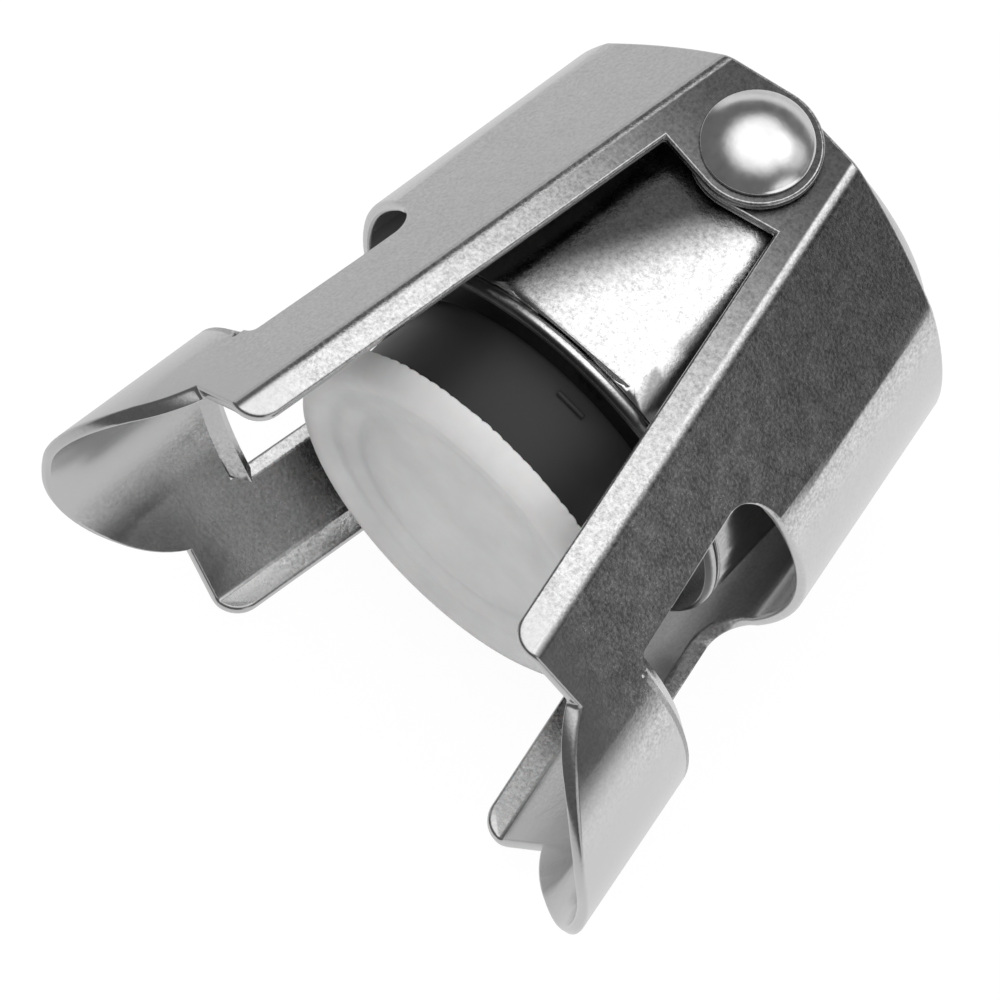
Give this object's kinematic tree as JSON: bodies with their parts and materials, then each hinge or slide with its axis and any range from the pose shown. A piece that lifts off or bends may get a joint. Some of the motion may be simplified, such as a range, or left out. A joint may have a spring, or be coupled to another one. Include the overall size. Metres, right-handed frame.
{
  "type": "champagne stopper",
  "caption": "Sprung champagne stopper: a pressed steel cap with a soft seal on a sliding piston and swinging wings that hook under the bottle's ring.",
  "frame": {"origin": "centre of the seal's face, where the stopper sits on the bottle's mouth", "axes": "+Y from the bottle's mouth to the top of the cap, +X across the wings, +Z out of the front rivet; the stopper lies on its back"},
  "size_m": [0.0521, 0.0561, 0.0394],
  "materials": {
    "pressed_steel": "satin plated, lightly tumbled",
    "rivet_chrome": "polished",
    "spring_steel": "drawn wire",
    "black_plastic": "moulded, satin",
    "milky_rubber": "soft, translucent white"
  },
  "bodies": {
    "cap": {"cap": "pressed_steel", "rivet_front": "rivet_chrome", "rivet_back": "rivet_chrome", "spring": "spring_steel"},
    "wing_left": {"wing_left": "pressed_steel"},
    "wing_right": {"wing_right": "pressed_steel"},
    "piston": {"piston": "black_plastic", "seal": "milky_rubber"}
  },
  "joints": [
    {"name": "right_wing_hinge", "type": "hinge", "parent": "cap", "child": "wing_right", "pos_m": [0, 0.0311, 0], "axis": [0, 0, 1], "range_deg": [-6.8, 54]},
    {"name": "left_wing_hinge", "type": "hinge", "parent": "cap", "child": "wing_left", "pos_m": [0, 0.0311, 0], "axis": [0, 0, -1], "range_deg": [-3.3, 57.5]},
    {"name": "piston_slide", "type": "slide", "parent": "cap", "child": "piston", "axis": [0, 1, 0], "range_m": [0, 0.0058], "stiffness_N_per_m": 1425, "springref_m": -0.0075, "deforming": ["spring"]}
  ]
}
